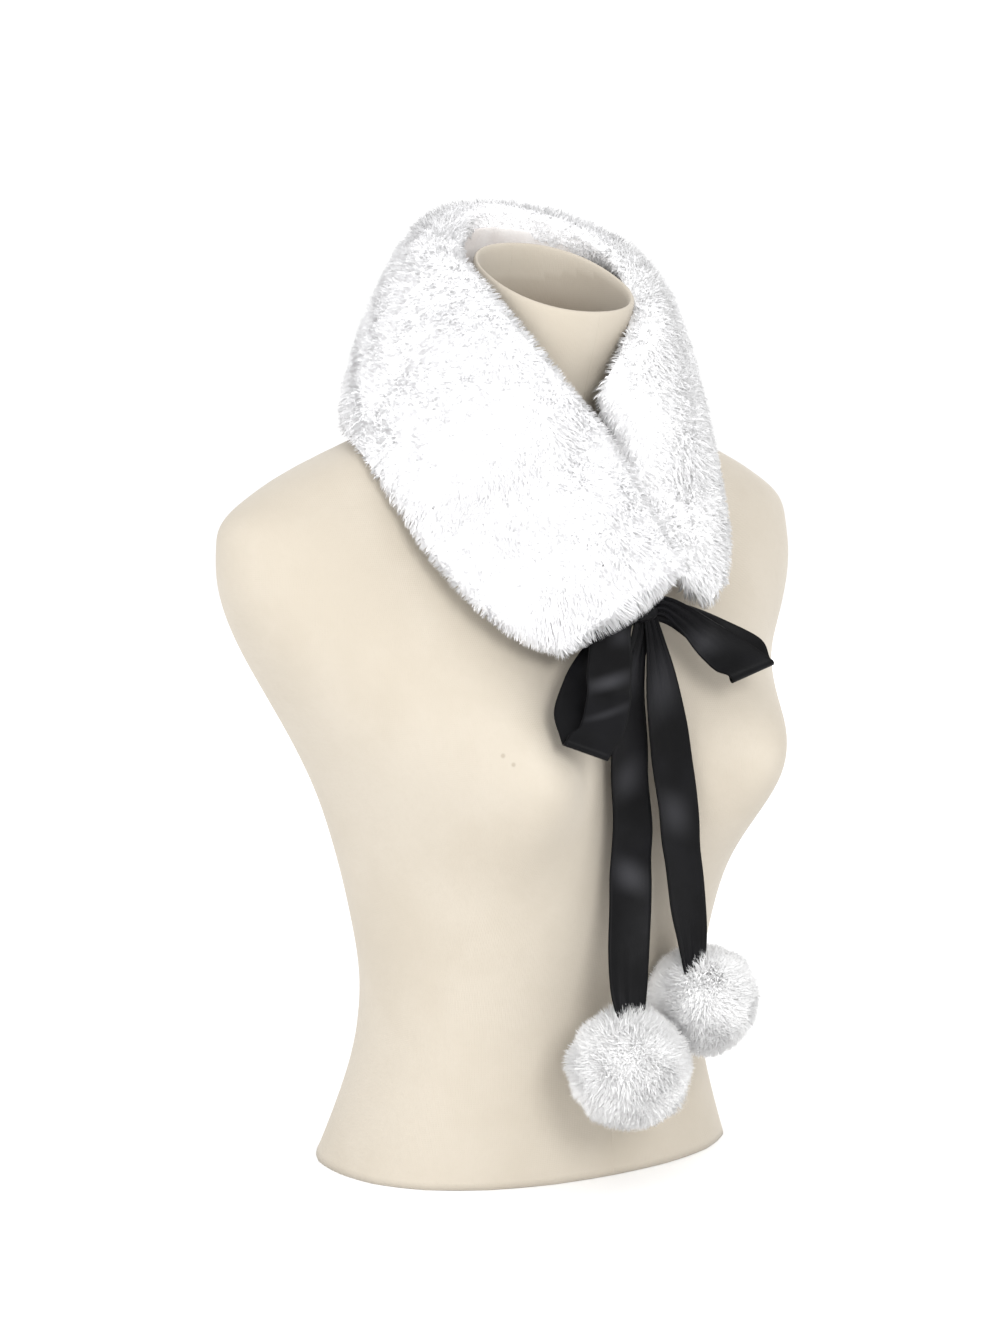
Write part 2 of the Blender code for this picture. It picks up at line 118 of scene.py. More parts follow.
class Graph:
    """The nodes of one material, round its Principled shader."""

    def __init__(self, name: str) -> None:
        """Makes a material with nothing but its shader.

        Args:
            name: The material's name.
        """
        self.material = bpy.data.materials.new(name)
        self.material.use_nodes = True
        self.tree = self.material.node_tree
        self.shader = self.tree.nodes["Principled BSDF"]

    def node(self, kind: str, settings: dict[str, object], values: dict[str | int, object]) -> bpy.types.Node:
        """Adds a node.

        Args:
            kind: The node's type.
            settings: Its own settings, which are set first.
            values: Values or wires of its sockets.

        Returns:
            The node.
        """
        made = self.tree.nodes.new(kind)
        for key, value in settings.items():
            setattr(made, key, value)
        for key, value in values.items():
            if isinstance(value, Wire):
                self.tree.links.new(value.socket, made.inputs[key])
            else:
                made.inputs[key].default_value = value
        return made

    def math(self, operation: str, *values: Wire | float) -> Wire:
        """Adds one Math node and returns its result."""
        made = self.node("ShaderNodeMath", {"operation": operation}, dict(enumerate(values)))
        return Wire(self, made.outputs[0])

    def place(self) -> Wire:
        """The point in the frame, because every piece's object sits at the origin."""
        return Wire(self, self.node("ShaderNodeTexCoord", {}, {}).outputs["Object"])

    def axes(self, vector: Wire) -> tuple[Wire, Wire, Wire]:
        """The three parts of a vector."""
        made = self.node("ShaderNodeSeparateXYZ", {}, {0: vector})
        return tuple(Wire(self, made.outputs[i]) for i in range(3))

    def uv(self) -> tuple[Wire, Wire]:
        """The place on a ribbon: across it and along it, each from 0 to 1."""
        across, along, _ = self.axes(Wire(self, self.node("ShaderNodeUVMap", {}, {}).outputs["UV"]))
        return across, along

    def attribute(self, name: str) -> Wire:
        """A number that the mesh keeps for each of its points."""
        return Wire(self, self.node("ShaderNodeAttribute", {"attribute_name": name}, {}).outputs["Fac"])

    def noise(self, size: float, detail: float = 2.0, roughness: float = 0.5) -> Wire:
        """Smooth noise about 0.5 whose lumps are about size across."""
        values = {"Vector": self.place(), "Scale": 1 / size, "Detail": detail, "Roughness": roughness}
        return Wire(self, self.node("ShaderNodeTexNoise", {}, values).outputs["Fac"])

    def between(self, value: Wire, low: float, high: float) -> Wire:
        """Turns a value into a share that rises smoothly from 0 to 1.

        Args:
            value: What is read.
            low: Where the share leaves 0.
            high: Where it reaches 1.

        Returns:
            The share.
        """
        settings = {"interpolation_type": "SMOOTHSTEP"}
        made = self.node("ShaderNodeMapRange", settings, {"Value": value, "From Min": low, "From Max": high})
        return Wire(self, made.outputs["Result"])

    def distance(self, centre: Point) -> Wire:
        """How far the point is from a place in the frame."""
        made = self.node("ShaderNodeVectorMath", {"operation": "DISTANCE"}, {0: self.place(), 1: centre})
        return Wire(self, made.outputs["Value"])

    def tint(self, share: Wire, low: Colour | Wire, high: Colour | Wire) -> Wire:
        """Mixes two colours.

        Args:
            share: 0 for the first colour, 1 for the second.
            low: The first colour.
            high: The second colour.

        Returns:
            The colour between them.
        """
        values = {0: share}
        for key, colour in ((COLOUR_A, low), (COLOUR_B, high)):
            values[key] = colour if isinstance(colour, Wire) else (*colour, 1.0)
        made = self.node("ShaderNodeMix", {"data_type": "RGBA"}, values)
        return Wire(self, made.outputs[COLOUR_OUT])

    def bump(self, height: Wire, depth: float, strength: float = 1.0) -> None:
        """Roughens the surface by a height.

        Args:
            height: The height, from 0 to 1.
            depth: How far 1 stands above 0, in metres.
            strength: How much of it shows.
        """
        values = {"Height": height, "Distance": depth, "Strength": strength}
        made = self.node("ShaderNodeBump", {}, values)
        self.tree.links.new(made.outputs["Normal"], self.shader.inputs["Normal"])

    def set(self, **values: float | Wire | tuple) -> None:
        """Sets the shader's own sockets.

        Args:
            values: A wire or a constant for each socket, by its name with _ for a space.
        """
        for key, value in values.items():
            socket = self.shader.inputs[key.replace("_", " ")]
            if isinstance(value, Wire):
                self.tree.links.new(value.socket, socket)
            else:
                socket.default_value = value


def shaded(colour: Colour, share: float) -> Colour:
    """A colour times a share."""
    return tuple(part * share for part in colour)


@dataclass(frozen=True)
class JerseyFinish:
    """The form's close cover of fine cream jersey, a little soiled, with two faint marks on the chest, and
    painted shade inside the open neck.
    """

    colour: Colour = (0.464, 0.419, 0.352)
    soiled: Colour = (0.434, 0.388, 0.320)
    # The painted shade inside the neck's hollow: its dark colour, and how it deepens below the rim.
    painted_hollow_shade: Colour = (0.17, 0.115, 0.07)
    rim_height: float = 0.523
    rim_slope: float = 0.38
    dark_below: float = 0.050
    mark: Colour = (0.24, 0.20, 0.15)
    marks: tuple[tuple[Point, float], ...] = (
        ((-0.1010, -0.1232, 0.2626), 0.0015),
        ((-0.0978, -0.1288, 0.2580), 0.0014),
    )
    course: float = 0.0011
    seam_width: float = 0.0009

    def material(self) -> bpy.types.Material:
        """Builds the material.

        Returns:
            The material.
        """
        graph = Graph("cream_jersey")
        x, y, z = graph.axes(graph.place())
        cloudy = graph.between(graph.noise(0.110, 4.0, 0.62), 0.38, 0.68)
        colour = graph.tint(cloudy, self.colour, self.soiled)
        fleck = graph.between(graph.noise(0.0035, 2.0), 0.40, 0.75)
        colour = graph.tint(fleck * 0.16, colour, self.soiled)
        seam = 1 - graph.between(x.math("ABSOLUTE"), 0.2 * self.seam_width, self.seam_width)
        colour = graph.tint(seam * 0.22, colour, self.soiled)
        for centre, radius in self.marks:
            spot = 1 - graph.between(graph.distance(centre), 0.4 * radius, 1.3 * radius)
            colour = graph.tint(spot * 0.45, colour, self.mark)
        # Painted shade: the hollow's inner wall is darkened a little at the rim, and more the further it lies
        # below.
        depth = graph.between(self.rim_height + y * self.rim_slope - z, 0.0, self.dark_below)
        colour = graph.tint(graph.attribute("inside") * (0.15 + depth * 0.80), colour, self.painted_hollow_shade)
        turns = 2 * math.pi / self.course
        wales = (x * turns).math("SINE") + (y * turns).math("SINE")
        courses = (z * turns).math("SINE")
        knit = wales * 0.25 + courses * 0.25 + graph.noise(0.0022, 3.0)
        graph.bump(knit - seam * 2.5, 0.00012, 0.4)
        graph.set(Base_Color=colour, Roughness=0.82 + fleck * 0.1)
        graph.set(Specular_IOR_Level=0.25, Sheen_Weight=0.15, Sheen_Roughness=0.6)
        return graph.material


@dataclass(frozen=True)
class FurFinish:
    """White fur: each lock is a little darker at its root, and no two are quite alike."""

    name: str
    tip: Colour
    root: Colour
    dull: Colour

    def material(self) -> bpy.types.Material:
        """Builds the material.

        Returns:
            The material.
        """
        graph = Graph(self.name)
        colour = graph.tint(graph.between(graph.attribute("reach"), 0.0, 0.8), self.root, self.tip)
        colour = graph.tint(graph.attribute("tone") * 0.15, colour, self.dull)
        patchy = graph.between(graph.noise(0.022, 3.0), 0.45, 0.72)
        colour = graph.tint(patchy * 0.50, colour, self.dull)
        graph.set(Base_Color=colour, Roughness=0.88 + graph.noise(0.004) * 0.1)
        graph.set(Specular_IOR_Level=0.15, Sheen_Weight=0.1, Sheen_Roughness=0.5)
        return graph.material

    def backing(self) -> bpy.types.Material:
        """Builds the material of the knitted backing, deep between the locks.

        Returns:
            The material.
        """
        graph = Graph(self.name + "_backing")
        colour = graph.tint(graph.noise(0.003, 3.0), self.root, self.dull)
        graph.bump(graph.noise(0.0015, 2.0), 0.0006)
        graph.set(Base_Color=colour, Roughness=0.95 - graph.noise(0.006) * 0.05)
        graph.set(Specular_IOR_Level=0.1)
        return graph.material


@dataclass(frozen=True)
class PaintedSheen:
    """A painted highlight: a soft lighter band painted across a ribbon's colour, whose place and half width
    are shares of the ribbon's length.
    """

    at: float
    width: float
    share: float
    slant: float = 0.0
    side: float = 0.5
    breadth: float = 0.75


@dataclass(frozen=True)
class SatinFinish:
    """Satin: fine warp threads along the cloth, with painted sheen, lighter in cloudy patches and, on a
    ribbon, in bands across it.
    """

    name: str
    colour: Colour
    painted_sheen_patch: Colour
    roughness: float
    specular: float
    thread: float = 0.0005

    def ribbon(self, width: float, sheens: Sequence[PaintedSheen] = ()) -> bpy.types.Material:
        """Builds the material of a ribbon that has a woven edge along both sides.

        Args:
            width: The ribbon's width.
            sheens: Painted highlights, soft lighter bands painted across it where the warp would lie smooth
                and catch the light.

        Returns:
            The material.
        """
        graph = Graph(self.name)
        across, along = graph.uv()
        edge = graph.between((across - 0.5).math("ABSOLUTE"), 0.462, 0.474)
        cord = (across * (width / 0.0008) * 2 * math.pi).math("SINE") * edge
        threads = (across * (width / self.thread) * 2 * math.pi).math("SINE") * 0.3
        # Painted sheen: the colour is lighter in cloudy patches.
        cloudy = graph.between(graph.noise(0.030, 3.0), 0.35, 0.70)
        colour = graph.tint(cloudy, self.colour, self.painted_sheen_patch)
        # Painted highlights: each band lightens the colour towards the painted sheen colour.
        for sheen in sheens:
            place = (along - sheen.at + (across - 0.5) * sheen.slant).math("ABSOLUTE")
            side = (across - sheen.side).math("ABSOLUTE")
            band = 1 - graph.between(place, 0.0, sheen.width)
            band = band * (1 - graph.between(side, 0.0, sheen.breadth))
            colour = graph.tint(band * sheen.share, colour, PAINTED_SATIN_SHEEN)
        graph.set(Base_Color=graph.tint(edge * 0.5, colour, shaded(self.colour, 0.6)))
        graph.set(Roughness=self.roughness + graph.noise(0.012, 3.0) * 0.14 + edge * 0.15)
        graph.set(Specular_IOR_Level=self.specular, Sheen_Weight=0.015, Sheen_Roughness=0.4)
        graph.bump(threads + cord * 1.4 + graph.noise(0.0012) * 0.6, 0.00008)
        return graph.material

    def cloth(self) -> bpy.types.Material:
        """Builds the material of a wide piece, such as a lining.

        Returns:
            The material.
        """
        graph = Graph(self.name)
        # Painted sheen: the colour is lighter in cloudy patches.
        cloudy = graph.between(graph.noise(0.018, 3.0), 0.35, 0.70)
        graph.set(Base_Color=graph.tint(cloudy, self.colour, self.painted_sheen_patch))
        graph.set(Roughness=self.roughness + graph.noise(0.006, 2.0) * 0.1)
        graph.set(Specular_IOR_Level=self.specular)
        graph.bump(graph.noise(0.0009, 2.0), 0.00008)
        return graph.material


@dataclass(frozen=True)
class FloorFinish:
    """The pale floor of the studio."""

    colour: Colour = (0.93, 0.93, 0.93)

    def material(self) -> bpy.types.Material:
        """Builds the material.

        Returns:
            The material.
        """
        graph = Graph("pale_floor")
        colour = graph.tint(graph.noise(0.8, 2.0), self.colour, shaded(self.colour, 0.985))
        graph.set(Base_Color=colour, Roughness=0.9, Specular_IOR_Level=0.1)
        return graph.material


WHITE_FUR = FurFinish("white_fur", (0.925, 0.923, 0.933), (0.912, 0.909, 0.919), (0.860, 0.859, 0.872))
# A darker copy of the white fur: painted shade for the wearer's left end, which lies under the right end.
PAINTED_SHADE_FUR = FurFinish("shaded_fur", (0.905, 0.904, 0.908), (0.895, 0.893, 0.897), (0.850, 0.849, 0.855))
POMPOM_FUR = FurFinish("pompom_fur", (0.985, 0.984, 0.984), (0.982, 0.981, 0.980), (0.972, 0.971, 0.969))
BLACK_SATIN = SatinFinish("black_satin", (0.0022, 0.0022, 0.0026), (0.0048, 0.0048, 0.0058), 0.30, 0.085)
WHITE_SATIN = SatinFinish("white_satin", (0.72, 0.680, 0.660), (0.80, 0.78, 0.77), 0.24, 0.60)
# The colour of the painted highlight bands on the black satin.
PAINTED_SATIN_SHEEN: Colour = (0.034, 0.034, 0.038)


def pick(thing: bpy.types.Object) -> None:
    """Selects one object alone and makes it the active one.

    Args:
        thing: The object.
    """
    bpy.ops.object.select_all(action="DESELECT")
    thing.select_set(True)
    bpy.context.view_layer.objects.active = thing


@contextmanager
def editing(thing: bpy.types.Object) -> Iterator[None]:
    """Keeps one object in edit mode for as long as the block runs.

    Args:
        thing: The object.

    Yields:
        Nothing.
    """
    pick(thing)
    bpy.ops.object.mode_set(mode="EDIT")
    try:
        yield
    finally:
        bpy.ops.object.mode_set(mode="OBJECT")


def finish_with(thing: bpy.types.Object, kind: str, **settings: object) -> None:
    """Adds a modifier and applies it.

    Args:
        thing: The object.
        kind: The modifier's type.
        settings: Its settings.
    """
    pick(thing)
    bpy.ops.object.modifier_add(type=kind)
    modifier = thing.modifiers[-1]
    for key, value in settings.items():
        setattr(modifier, key, value)
    bpy.ops.object.modifier_apply(modifier=modifier.name)


def delete_faces(thing: bpy.types.Object, wanted: Sequence[bool]) -> None:
    """Deletes the faces whose corners are all wanted.

    Args:
        thing: The object.
        wanted: For each point of its mesh, whether it is one of them.
    """
    with editing(thing):
        bpy.ops.mesh.select_all(action="DESELECT")
    for face in thing.data.polygons:
        face.select = all(wanted[i] for i in face.vertices)
    with editing(thing):
        bpy.ops.mesh.select_mode(type="FACE")
        bpy.ops.mesh.delete(type="FACE")


def points_of(thing: bpy.types.Object) -> Array:
    """Reads the mesh's points.

    Args:
        thing: The object.

    Returns:
        One row for each point.
    """
    flat = np.zeros(len(thing.data.vertices) * 3, np.float32)
    thing.data.vertices.foreach_get("co", flat)
    return flat.reshape(-1, 3).astype(float)


def normals_of(thing: bpy.types.Object) -> Array:
    """Reads the smooth normals at the mesh's points.

    Args:
        thing: The object.

    Returns:
        One row for each point.
    """
    flat = np.zeros(len(thing.data.vertices) * 3, np.float32)
    thing.data.vertex_normals.foreach_get("vector", flat)
    return flat.reshape(-1, 3).astype(float)


def move_points(thing: bpy.types.Object, points: Array) -> None:
    """Puts the mesh's points somewhere else."""
    thing.data.vertices.foreach_set("co", points.astype(np.float32).ravel())
    thing.data.update()


def unit(vectors: Array) -> Array:
    """Vectors of length 1 along these."""
    return vectors / np.maximum(np.linalg.norm(vectors, axis=-1, keepdims=True), 1e-12)


def drift(points: Array, size: float, seed: int) -> Array:
    """A wander of direction that changes smoothly over about size, the same on each run.

    Args:
        points: Where it is read.
        size: How far apart its swings are.
        seed: Which wander it is.

    Returns:
        A vector of about unit length for each point.
    """
    rng = np.random.default_rng(seed)
    waves = 7
    total = np.zeros_like(points)
    for _ in range(waves):
        way = unit(rng.normal(size=3)) * (2 * math.pi / size) * rng.uniform(0.6, 1.5)
        push = rng.normal(size=3)
        total += np.sin(points @ way + rng.uniform(0, 2 * math.pi))[:, None] * push
    return total / math.sqrt(waves * 1.5)


def lumps(points: Array, size: float) -> Array:
    """Smooth noise from about -1 to 1 at each point."""
    return np.array([noise.noise(Vector(point) / size) for point in points])


def tree_of(things: Sequence[bpy.types.Object]) -> BVHTree:
    """Makes one search tree of the faces of several objects.

    Args:
        things: The objects.

    Returns:
        The tree.
    """
    corners, faces = [], []
    for thing in things:
        start = len(corners)
        corners.extend(vertex.co.copy() for vertex in thing.data.vertices)
        faces.extend([start + i for i in face.vertices] for face in thing.data.polygons)
    return BVHTree.FromPolygons(corners, faces)


def settle(thing: bpy.types.Object, slot: Slot, material: bpy.types.Material, *nodes: str) -> None:
    """Gives a finished piece its material and its body, and hides the nodes that it stands for.

    Args:
        thing: The piece.
        slot: The record's slot; not used.
        material: The piece's material.
        nodes: The CAD nodes that it replaces.
    """
    thing.data.materials.clear()
    thing.data.materials.append(material)
    thing.data.shade_smooth()
    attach(thing, BODY)
    if nodes:
        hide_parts(*nodes)
    LOG.info("%s: %d faces", thing.name, len(thing.data.polygons))


def copy_of(name: str, *nodes: str) -> bpy.types.Object:
    """Copies CAD nodes into one new object, with corners merged and quads where triangles pair up.

    Where two nodes meet at a seam, the two ends' own faces go and the skins are joined.

    Args:
        name: The new object's name.
        nodes: The CAD nodes.

    Returns:
        The new object.
    """
    seam_reach, merged_below = 0.9 * MM, 0.02 * MM
    copies = []
    for node in nodes:
        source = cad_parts[node]
        made = bpy.data.objects.new(name, source.data.copy())
        bpy.context.scene.collection.objects.link(made)
        copies.append(made)
    for one, other in zip(copies, copies[1:]):
        for here, there in ((one, other), (other, one)):
            tree = KDTree(len(there.data.vertices))
            for vertex in there.data.vertices:
                tree.insert(vertex.co, vertex.index)
            tree.balance()
            delete_faces(here, [tree.find(vertex.co)[2] < seam_reach for vertex in here.data.vertices])
    pick(copies[0])
    for other in copies[1:]:
        other.select_set(True)
    if len(copies) > 1:
        bpy.ops.object.join()
    joined = copies[0]
    with editing(joined):
        bpy.ops.mesh.select_all(action="SELECT")
        bpy.ops.mesh.remove_doubles(threshold=seam_reach if len(nodes) > 1 else merged_below)
        bpy.ops.mesh.tris_convert_to_quads()
    return joined


@dataclass(frozen=True)
class Softbox:
    """A round area light that faces the object."""

    name: str
    direction: Point
    distance: float
    size: float
    power: float


@dataclass
class Studio:
    """The camera at the photo's angle, the pale floor, soft light all round, and three softboxes."""

    camera_at: Point = (-1.2624, -1.7787, 0.5792)
    look_at: Point = (-0.0113, 0.0079, 0.2920)
    lens: float = 99.0
    sensor: float = 36.0
    sight: float = 100.0
    surround: float = 1.14
    softboxes: tuple[Softbox, ...] = (
        Softbox("key", (-0.20, -0.80, 0.30), 2.4, 0.9, 27.0),
        Softbox("fill", (-0.96, -0.22, 0.28), 2.6, 2.0, 26.0),
        Softbox("back", (0.80, 0.62, 0.32), 2.6, 1.6, 18.0),
    )
    bounces: int = 10
    floor_size: float = 60.0
    floor_drop: float = 0.0003

    def build(self) -> None:
        """Makes the camera, the floor and the light."""
        camera = bpy.data.objects.new("camera", bpy.data.cameras.new("camera"))
        camera.data.lens = self.lens
        camera.data.sensor_width = self.sensor
        camera.data.clip_end = self.sight
        self._aim(camera, self.camera_at)
        bpy.context.scene.camera = camera

        bpy.ops.object.select_all(action="DESELECT")
        bpy.ops.mesh.primitive_plane_add(size=self.floor_size, location=(0, 0, -self.floor_drop))
        floor = bpy.context.object
        floor.name = "floor"
        floor.data.materials.append(FloorFinish().material())

        for softbox in self.softboxes:
            lamp = bpy.data.lights.new(softbox.name, "AREA")
            lamp.shape = "DISK"
            lamp.size = softbox.size
            lamp.energy = softbox.power
            way = Vector(softbox.direction).normalized()
            self._aim(bpy.data.objects.new(softbox.name, lamp), Vector(self.look_at) + way * softbox.distance)

        world = bpy.data.worlds.new("surround")
        world.use_nodes = True
        background = world.node_tree.nodes["Background"]
        background.inputs["Color"].default_value = (1.0, 1.0, 1.0, 1.0)
        background.inputs["Strength"].default_value = self.surround
        bpy.context.scene.world = world
        bpy.context.scene.view_settings.view_transform = "Standard"
        bpy.context.scene.cycles.diffuse_bounces = self.bounces
        LOG.info("studio: lens %.0f mm, %d softboxes", self.lens, len(self.softboxes))

    def _aim(self, thing: bpy.types.Object, place: Point) -> None:
        """Puts the camera or a lamp somewhere and points it at the scarf.

        Args:
            thing: The camera or the lamp.
            place: Where it goes.
        """
        bpy.context.scene.collection.objects.link(thing)
        thing.location = place
        thing.rotation_euler = (Vector(self.look_at) - Vector(place)).to_track_quat("-Z", "Y").to_euler()


@dataclass
class DressForm:
    """The limbless form: a smooth hollow shell with an open neck, closely covered in jersey."""

    node: str = "dress_form"
    base_height: float = 0.5 * MM
    marked_above: float = 0.36
    clear_of_wall: float = 0.5 * MM

    def build(self) -> bpy.types.Object:
        """Copies the solid, keeps its base's edge and rounds the rest off.

        Returns:
            The form.
        """
        form = copy_of("form_cover", self.node)
        low = points_of(form)[:, 2] < self.base_height
        crease = form.data.attributes.new("crease_edge", "FLOAT", "EDGE")
        for edge in form.data.edges:
            if all(low[i] for i in edge.vertices):
                crease.data[edge.index].value = 1.0
        finish_with(form, "SUBSURF", levels=2, render_levels=2)
        self._mark_inside(form)
        settle(form, Slot.FORM, JerseyFinish().material(), self.node)
        return form

    def _mark_inside(self, form: bpy.types.Object) -> None:
        """Marks the points of the hollow's own wall, which face some other part of the wall, where the cover's
        painted shade goes.

        Args:
            form: The form, which gets an attribute that is 1 there.
        """
        tree = tree_of([form])
        points, normals = points_of(form), normals_of(form)
        marks = np.zeros(len(points), np.float32)
        for index in np.flatnonzero(points[:, 2] > self.marked_above):
            start = Vector(points[index] + normals[index] * self.clear_of_wall)
            marks[index] = tree.ray_cast(start, Vector(normals[index]))[0] is not None
        form.data.attributes.new("inside", "FLOAT", "POINT").data.foreach_set("value", marks)


@dataclass(frozen=True)
class Sweep:
    """A place where the fur is fuller than its solid shows, and the way that it is drawn there."""

    centre: Point
    reach: float
    push: Point

    def moved(self, roots: Array, normals: Array) -> Array:
        """Works out how far each point is drawn along.

        Args:
            roots: The points.
            normals: The surface's normals there.

        Returns:
            A step for each point, which fades with its distance and where it faces away.
        """
        push = np.array(self.push)
        near = np.exp(-(((roots - np.array(self.centre)) ** 2).sum(1)) / self.reach**2)
        facing = np.clip(0.4 + normals @ unit(push), 0.0, 1.0)
        return (near * facing)[:, None] * push


@dataclass(frozen=True)
class Strands:
    """Locks or hairs of one kind, which all have the same triangles.

    The reach is 0 at a root and 1 at a tip, and the tone differs from one strand to the next.
    """

    points: Array
    pattern: Array
    size: int
    reach: Array
    tone: Array


@dataclass
class Pile:
    """Fine closed locks that grow out of a backing and lean together in tufts.

    Curved locks have ten triangles and straight hairs four, so a pile's share of each sets its weight.
    """

    name: str
    locks: int
    length: float
    seed: int
    lock_radius: float = 0.62 * MM
    hair_radius: float = 0.30 * MM
    taper: float = 0.80
    bend: float = 0.10
    shortest: float = 2.5 * MM
    wave: float = 0.16
    wave_size: float = 0.014
    loose: float = 0.22
    lean: float = 0.45
    tuft: float = 5.0 * MM
    gather: float = 0.26
    swirl: float = 0.030
    softness: float = 0.97
    sweeps: tuple[Sweep, ...] = ()
    fall: Point = (0.0, 0.0, -1.0)

    def grow(
        self,
        roots: Array,
        normals: Array,
        skin: BVHTree | Array,
        slot: Slot,
        material: bpy.types.Material,
    ) -> bpy.types.Object:
        """Makes the pile as one mesh.

        Args:
            roots: Where each lock leaves the backing.
            normals: The backing's normal there.
            skin: The surface that the tips reach to, or each lock's share of the pile's length.
            slot: The record's slot.
            material: The pile's material.

        Returns:
            The piece.
        """
        rng = np.random.default_rng(self.seed)
        count = len(roots)
        ways = self._ways(roots, normals, rng)
        if isinstance(skin, BVHTree):
            hits = [skin.ray_cast(Vector(root), Vector(way))[3] for root, way in zip(roots, ways)]
            reached = [self.length if hit is None else hit for hit in hits]
            lengths = np.clip(reached, self.shortest, self.length)
        else:
            lengths = self.length * skin
        waves = 1 + self.wave * drift(roots, self.wave_size, self.seed + 5)[:, 0]
        lengths = lengths * rng.uniform(0.86, 1.16, count) * waves
        tips = roots + ways * lengths[:, None]
        tips = self._gathered(roots, tips, normals, rng)
        for sweep in self.sweeps:
            tips = tips + sweep.moved(roots, normals)
        middles = (roots + tips) / 2 + normals * (lengths * self.bend)[:, None]
        is_lock = rng.permutation(count) < self.locks
        parts = [
            self._curved(roots[is_lock], middles[is_lock], tips[is_lock], rng),
            self._straight(roots[~is_lock], tips[~is_lock], rng),
        ]
        under_locks = np.repeat(normals[is_lock], LOCK_POINTS, axis=0)
        under_hairs = np.repeat(normals[~is_lock], HAIR_POINTS, axis=0)
        return self._mesh(parts, np.concatenate([under_locks, under_hairs]), slot, material)

    def _ways(self, roots: Array, normals: Array, rng: np.random.Generator) -> Array:
        """Turns each strand off the backing and leans it the way that the pile falls.

        Args:
            roots: Where the strands leave the backing.
            normals: The backing's normals there.
            rng: Where the random numbers come from.

        Returns:
            A direction for each strand.
        """
        count = len(roots)
        fall = np.array(self.fall) + 0.9 * drift(roots, self.swirl, self.seed + 1)
        fall -= normals * (fall * normals).sum(1)[:, None]
        lean = self.lean * rng.uniform(0.6, 1.3, count)[:, None]
        loose = self.loose * rng.normal(size=(count, 3))
        return unit(normals + lean * fall + loose)

    def _gathered(self, roots: Array, tips: Array, normals: Array, rng: np.random.Generator) -> Array:
        """Draws the tips of each tuft's strands together.

        Args:
            roots: Where the strands leave the backing.
            tips: Where they would end.
            normals: The backing's normals at the roots.
            rng: Where the random numbers come from.

        Returns:
            The new tips.
        """
        keep = max(1, int(len(roots) * (1.1 * MM / self.tuft) ** 2))
        chosen = rng.choice(len(roots), keep, replace=False)
        tree = KDTree(keep)
        for order, index in enumerate(chosen):
            tree.insert(roots[index], order)
        tree.balance()
        nearest = np.array([tree.find(root)[1] for root in roots])
        middle = tips[chosen] + normals[chosen] * rng.uniform(-0.8, 1.2, keep)[:, None] * MM
        share = self.gather * rng.uniform(0.5, 1.25, len(roots))[:, None]
        return tips * (1 - share) + middle[nearest] * share

    def _ring(self, centres: Array, axes: Array, radius: Array, turn: Array) -> Array:
        """Puts three points round each centre, at right angles to its axis.

        Args:
            centres: The centres.
            axes: The axes.
            radius: How far the points are from each centre.
            turn: Where the first one is, as an angle round each axis.

        Returns:
            Three points for each centre.
        """
        side = unit(np.cross(axes, np.roll(axes, 1, axis=1) + np.array([0.1, 0.2, 0.3])))
        other = np.cross(axes, side)
        ring = []
        for corner in range(3):
            angle = turn + corner * 2 * math.pi / 3
            spoke = side * np.cos(angle)[:, None] + other * np.sin(angle)[:, None]
            ring.append(centres + spoke * radius[:, None])
        return np.stack(ring, axis=1)

    def _curved(self, roots: Array, middles: Array, tips: Array, rng: np.random.Generator) -> Strands:
        """Makes the locks, which have a bend half way.

        Args:
            roots: Where they start.
            middles: Where they bend.
            tips: Where they end.
            rng: Where the random numbers come from.

        Returns:
            The locks.
        """
        count = len(roots)
        turn = rng.uniform(0, 2 * math.pi, count)
        radius = self.lock_radius * rng.uniform(0.7, 1.3, count)
        low = self._ring(roots, unit(middles - roots), radius, turn)
        high = self._ring(middles, unit(tips - roots), radius * self.taper, turn)
        points = np.concatenate([low, high, tips[:, None]], axis=1)
        pattern = [(0, 2, 1)]
        for i in range(3):
            j = (i + 1) % 3
            pattern += [(i, j, 3 + j), (i, 3 + j, 3 + i), (3 + i, 3 + j, 6)]
        reach = np.tile([0.0] * 3 + [0.6] * 3 + [1.0], count)
        tone = np.repeat(rng.uniform(0, 1, count), LOCK_POINTS)
        return Strands(points.reshape(-1, 3), np.array(pattern), LOCK_POINTS, reach, tone)

    def _straight(self, roots: Array, tips: Array, rng: np.random.Generator) -> Strands:
        """Makes the hairs, which have no bend.

        Args:
            roots: Where they start.
            tips: Where they end.
            rng: Where the random numbers come from.

        Returns:
            The hairs.
        """
        count = len(roots)
        turn = rng.uniform(0, 2 * math.pi, count)
        radius = self.hair_radius * rng.uniform(0.7, 1.3, count)
        low = self._ring(roots, unit(tips - roots), radius, turn)
        points = np.concatenate([low, tips[:, None]], axis=1)
        pattern = np.array([(0, 2, 1), (0, 1, 3), (1, 2, 3), (2, 0, 3)])
        reach = np.tile([0.0] * 3 + [1.0], count)
        tone = np.repeat(rng.uniform(0, 1, count), HAIR_POINTS)
        return Strands(points.reshape(-1, 3), pattern, HAIR_POINTS, reach, tone)

